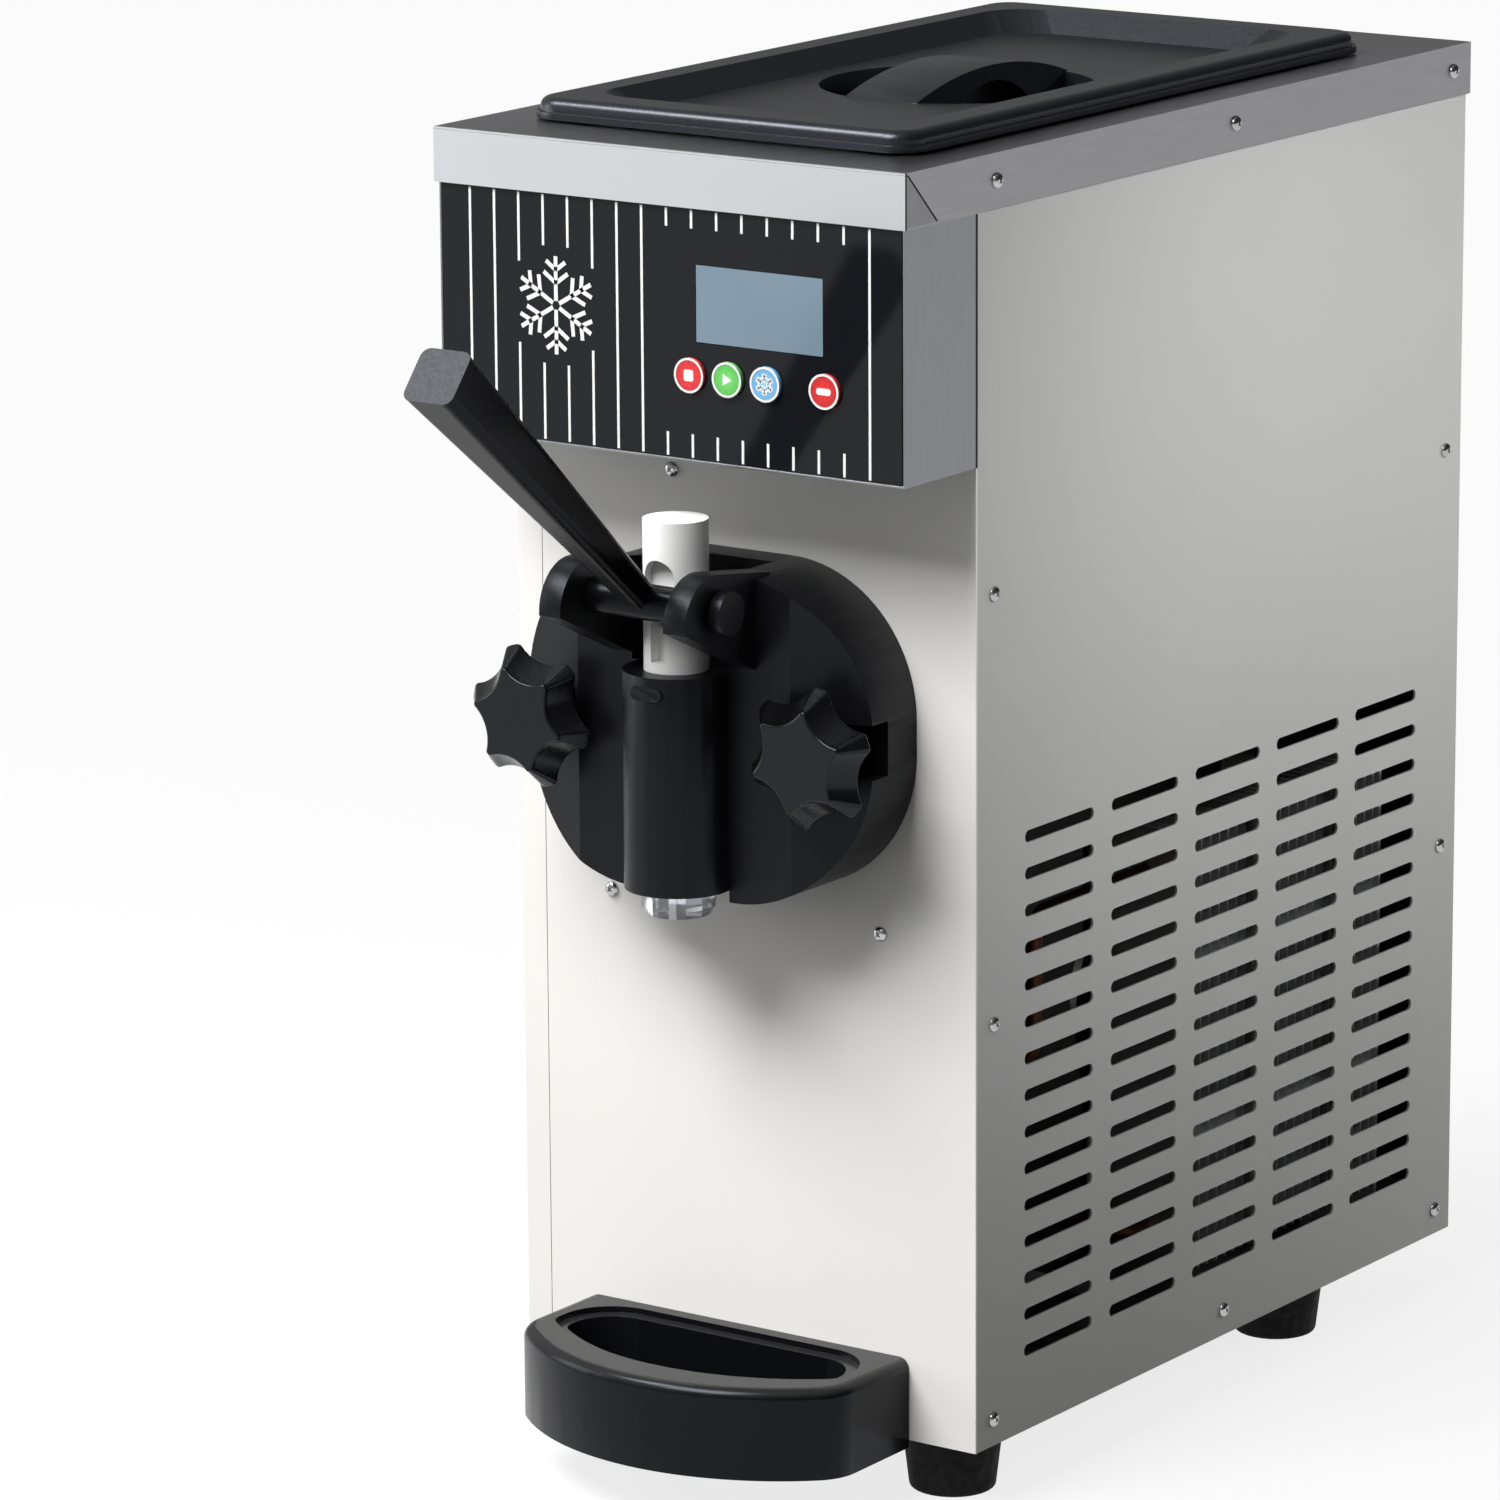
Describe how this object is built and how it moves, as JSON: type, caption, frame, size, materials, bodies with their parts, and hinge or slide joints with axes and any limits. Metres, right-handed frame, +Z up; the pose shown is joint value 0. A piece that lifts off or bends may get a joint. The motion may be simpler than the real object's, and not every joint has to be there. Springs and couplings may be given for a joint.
{
  "type": "soft serve ice cream machine",
  "caption": "Countertop soft-serve ice cream machine: sheet-metal cabinet, hopper under a lid, clamped dispensing head with draw lever, drip tray and cooling plant inside.",
  "frame": {"origin": "on the table under the middle of the whole machine's box", "axes": "+X to the right as seen from the front, +Y to the back, +Z up; the lever and the drip tray point along -Y"},
  "size_m": [0.2222, 0.5665, 0.5432],
  "materials": {
    "white_paint": "satin powder coat",
    "grey_paint": "satin powder coat",
    "cap_steel": "brushed",
    "plain_steel": "zinc plated",
    "stainless": "satin stainless",
    "bright_steel": "bright",
    "fascia_black": "gloss with thin pale stripes",
    "window_grey": "smoked clear",
    "black_plastic": "satin moulded",
    "white_plastic": "smooth moulded",
    "clear_plastic": "clear moulded",
    "red_button": "gloss",
    "green_button": "gloss",
    "blue_button": "gloss",
    "board_green": "solder mask",
    "display_glass": "dark",
    "rubber": "matt",
    "seal_rubber": "matt",
    "foam": "closed-cell foam",
    "cast_alloy": "cast",
    "fin_alloy": "mill finish",
    "copper": "drawn copper",
    "black_steel": "gloss enamel",
    "gear_plastic": "moulded nylon",
    "gear_steel": "machined"
  },
  "bodies": {
    "cabinet": {"base_pan": "plain_steel", "front_panel": "white_paint", "left_side_panel": "white_paint", "right_side_panel": "grey_paint", "rear_panel": "grey_paint", "top_cap": "cap_steel", "panel_screws": "bright_steel", "rubber_feet": "rubber", "control_box": "cap_steel", "control_fascia": "fascia_black", "display_window": "window_grey", "display_module": "display_glass", "control_board": "board_green", "hopper_tub": "stainless", "hopper_neck": "stainless", "feed_tube": "white_plastic", "freezing_cylinder": "stainless", "evaporator_jacket": "copper", "insulation_sleeve": "foam", "shaft_seal": "seal_rubber", "dispensing_head": "black_plastic", "head_seal": "seal_rubber", "knob_studs": "bright_steel", "lever_pin": "black_plastic", "tray_rails": "plain_steel", "drive_plate": "plain_steel", "gearbox_case": "cast_alloy", "drive_belt": "rubber", "drive_motor": "cast_alloy", "compressor": "black_steel", "compressor_mounts": "rubber", "condenser": "fin_alloy", "fan_shroud": "black_plastic", "fan_motor": "cast_alloy", "filter_drier": "copper", "discharge_line": "copper", "liquid_line": "copper", "capillary_line": "copper", "suction_line": "copper", "power_inlet": "black_plastic"},
    "beater": {"beater": "stainless", "scraper_blades": "white_plastic", "drive_gear": "gear_plastic"},
    "pinion": {"drive_pinion": "gear_steel", "gearbox_pulley": "cast_alloy"},
    "motor_rotor": {"motor_pulley": "gear_steel"},
    "fan": {"fan_blade": "black_plastic"},
    "lever": {"draw_lever": "black_plastic"},
    "plunger": {"valve_plunger": "white_plastic", "plunger_seals": "seal_rubber"},
    "lid": {"hopper_lid": "black_plastic"},
    "left_knob": {"left_knob": "black_plastic"},
    "right_knob": {"right_knob": "black_plastic"},
    "stop_button": {"stop_button": "red_button"},
    "run_button": {"run_button": "green_button"},
    "chill_button": {"chill_button": "blue_button"},
    "clean_button": {"clean_button": "red_button"},
    "tray": {"drip_tray": "black_plastic"},
    "nozzle": {"star_nozzle": "clear_plastic"}
  },
  "joints": [
    {"name": "beater_spin", "type": "hinge", "parent": "cabinet", "child": "beater", "pos_m": [0, 0.0148, 0.305], "axis": [0, 1, 0], "continuous": true},
    {"name": "pinion_spin", "type": "hinge", "parent": "cabinet", "child": "pinion", "pos_m": [0, 0.1748, 0.245], "axis": [0, 1, 0], "continuous": true},
    {"name": "motor_spin", "type": "hinge", "parent": "cabinet", "child": "motor_rotor", "pos_m": [-0.052, 0.2298, 0.12], "axis": [0, 1, 0], "continuous": true},
    {"name": "fan_spin", "type": "hinge", "parent": "cabinet", "child": "fan", "pos_m": [0.05, 0.1523, 0.1475], "axis": [1, 0, 0], "continuous": true},
    {"name": "lever_pull", "type": "hinge", "parent": "cabinet", "child": "lever", "pos_m": [0, -0.1496, 0.3625], "axis": [1, 0, 0], "range_deg": [0, 45]},
    {"name": "plunger_lift", "type": "slide", "parent": "cabinet", "child": "plunger", "axis": [0, 0, 1], "range_m": [0, 0.0158]},
    {"name": "lid_lift", "type": "slide", "parent": "cabinet", "child": "lid", "axis": [0, 0, 1], "range_m": [0, 0.12]},
    {"name": "left_knob_turn", "type": "hinge", "parent": "cabinet", "child": "left_knob", "pos_m": [-0.0657, -0.1342, 0.307], "axis": [0, 1, 0], "continuous": true},
    {"name": "right_knob_turn", "type": "hinge", "parent": "cabinet", "child": "right_knob", "pos_m": [0.0657, -0.1342, 0.307], "axis": [0, 1, 0], "continuous": true},
    {"name": "tray_pull", "type": "slide", "parent": "cabinet", "child": "tray", "axis": [0, -1, 0], "range_m": [0, 0.03]},
    {"name": "nozzle_pull", "type": "slide", "parent": "cabinet", "child": "nozzle", "axis": [0, 0, -1], "range_m": [0, 0.02]},
    {"name": "stop_press", "type": "slide", "parent": "cabinet", "child": "stop_button", "axis": [0, 1, 0], "range_m": [0, 0.0008], "stiffness_N_per_m": 500},
    {"name": "run_press", "type": "slide", "parent": "cabinet", "child": "run_button", "axis": [0, 1, 0], "range_m": [0, 0.0008], "stiffness_N_per_m": 500},
    {"name": "chill_press", "type": "slide", "parent": "cabinet", "child": "chill_button", "axis": [0, 1, 0], "range_m": [0, 0.0008], "stiffness_N_per_m": 500},
    {"name": "clean_press", "type": "slide", "parent": "cabinet", "child": "clean_button", "axis": [0, 1, 0], "range_m": [0, 0.0008], "stiffness_N_per_m": 500}
  ],
  "couplings": [
    {"joint": "pinion_spin", "follows": "beater_spin", "ratio": -3},
    {"joint": "motor_spin", "follows": "beater_spin", "ratio": -6},
    {"joint": "plunger_lift", "follows": "lever_pull", "m_per_rad": 0.02}
  ]
}
